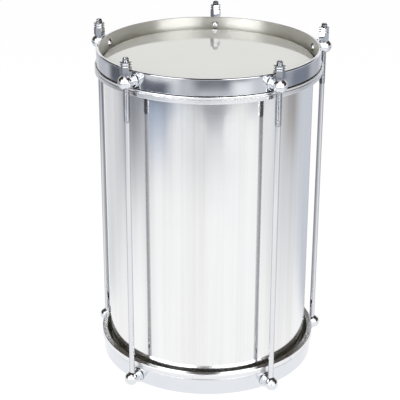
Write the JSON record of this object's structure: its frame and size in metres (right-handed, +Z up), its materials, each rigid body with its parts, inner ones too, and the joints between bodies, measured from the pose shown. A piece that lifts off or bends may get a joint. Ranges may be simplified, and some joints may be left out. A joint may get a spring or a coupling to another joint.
{
  "type": "repinique drum",
  "caption": "Small two-headed aluminium drum with flat steel hoops, ball-ended lugs and outside tension rods whose tall tuning nuts press the upper hoop onto the batter head.",
  "frame": {"origin": "centre of the batter head's playing face, on the drum's axis", "axes": "+Z up along the drum's axis, out of the batter head; +Y through tuning station 1, with stations 2 to 5 following counterclockwise seen from above"},
  "size_m": [0.2386, 0.2353, 0.3387],
  "materials": {
    "shell_aluminium": "mirror polished",
    "head_film": "smooth gloss",
    "flesh_hoop_aluminium": "brushed",
    "hoop_chrome": "plated, polished",
    "lug_chrome": "plated, mirror",
    "screw_chrome": "plated, mirror",
    "rod_steel": "plated, satin",
    "nut_chrome": "plated, polished"
  },
  "bodies": {
    "drum": {"shell": "shell_aluminium", "batter_head": "head_film", "resonant_head": "head_film", "batter_flesh_hoop": "flesh_hoop_aluminium", "resonant_flesh_hoop": "flesh_hoop_aluminium", "bottom_hoop": "hoop_chrome", "bottom_lug_1": "lug_chrome", "bottom_lug_2": "lug_chrome", "bottom_lug_3": "lug_chrome", "bottom_lug_4": "lug_chrome", "bottom_lug_5": "lug_chrome", "bottom_lug_screw_1": "screw_chrome", "bottom_lug_screw_2": "screw_chrome", "bottom_lug_screw_3": "screw_chrome", "bottom_lug_screw_4": "screw_chrome", "bottom_lug_screw_5": "screw_chrome", "tension_rod_1": "rod_steel", "tension_rod_2": "rod_steel", "tension_rod_3": "rod_steel", "tension_rod_4": "rod_steel", "tension_rod_5": "rod_steel"},
    "upper_hoop": {"top_hoop": "hoop_chrome", "top_lug_1": "lug_chrome", "top_lug_2": "lug_chrome", "top_lug_3": "lug_chrome", "top_lug_4": "lug_chrome", "top_lug_5": "lug_chrome", "top_lug_screw_1": "screw_chrome", "top_lug_screw_2": "screw_chrome", "top_lug_screw_3": "screw_chrome", "top_lug_screw_4": "screw_chrome", "top_lug_screw_5": "screw_chrome"},
    "nut_1": {"tuning_nut_1": "nut_chrome"},
    "nut_2": {"tuning_nut_2": "nut_chrome"},
    "nut_3": {"tuning_nut_3": "nut_chrome"},
    "nut_4": {"tuning_nut_4": "nut_chrome"},
    "nut_5": {"tuning_nut_5": "nut_chrome"}
  },
  "joints": [
    {"name": "upper_hoop_travel", "type": "slide", "parent": "drum", "child": "upper_hoop", "axis": [0, 0, 1], "range_m": [0, 0.005]},
    {"name": "nut_1_turn", "type": "hinge", "parent": "upper_hoop", "child": "nut_1", "pos_m": [0, 0.117, 0], "axis": [0, 0, 1], "range_deg": [0, 1800]},
    {"name": "nut_2_turn", "type": "hinge", "parent": "upper_hoop", "child": "nut_2", "pos_m": [-0.11127, 0.03615, 0], "axis": [0, 0, 1], "range_deg": [0, 1800]},
    {"name": "nut_3_turn", "type": "hinge", "parent": "upper_hoop", "child": "nut_3", "pos_m": [-0.06877, -0.09465, 0], "axis": [0, 0, 1], "range_deg": [0, 1800]},
    {"name": "nut_4_turn", "type": "hinge", "parent": "upper_hoop", "child": "nut_4", "pos_m": [0.06877, -0.09465, 0], "axis": [0, 0, 1], "range_deg": [0, 1800]},
    {"name": "nut_5_turn", "type": "hinge", "parent": "upper_hoop", "child": "nut_5", "pos_m": [0.11127, 0.03615, 0], "axis": [0, 0, 1], "range_deg": [0, 1800]}
  ],
  "couplings": [
    {"joint": "nut_1_turn", "follows": "upper_hoop_travel", "rad_per_m": 6283.2},
    {"joint": "nut_2_turn", "follows": "upper_hoop_travel", "rad_per_m": 6283.2},
    {"joint": "nut_3_turn", "follows": "upper_hoop_travel", "rad_per_m": 6283.2},
    {"joint": "nut_4_turn", "follows": "upper_hoop_travel", "rad_per_m": 6283.2},
    {"joint": "nut_5_turn", "follows": "upper_hoop_travel", "rad_per_m": 6283.2}
  ]
}
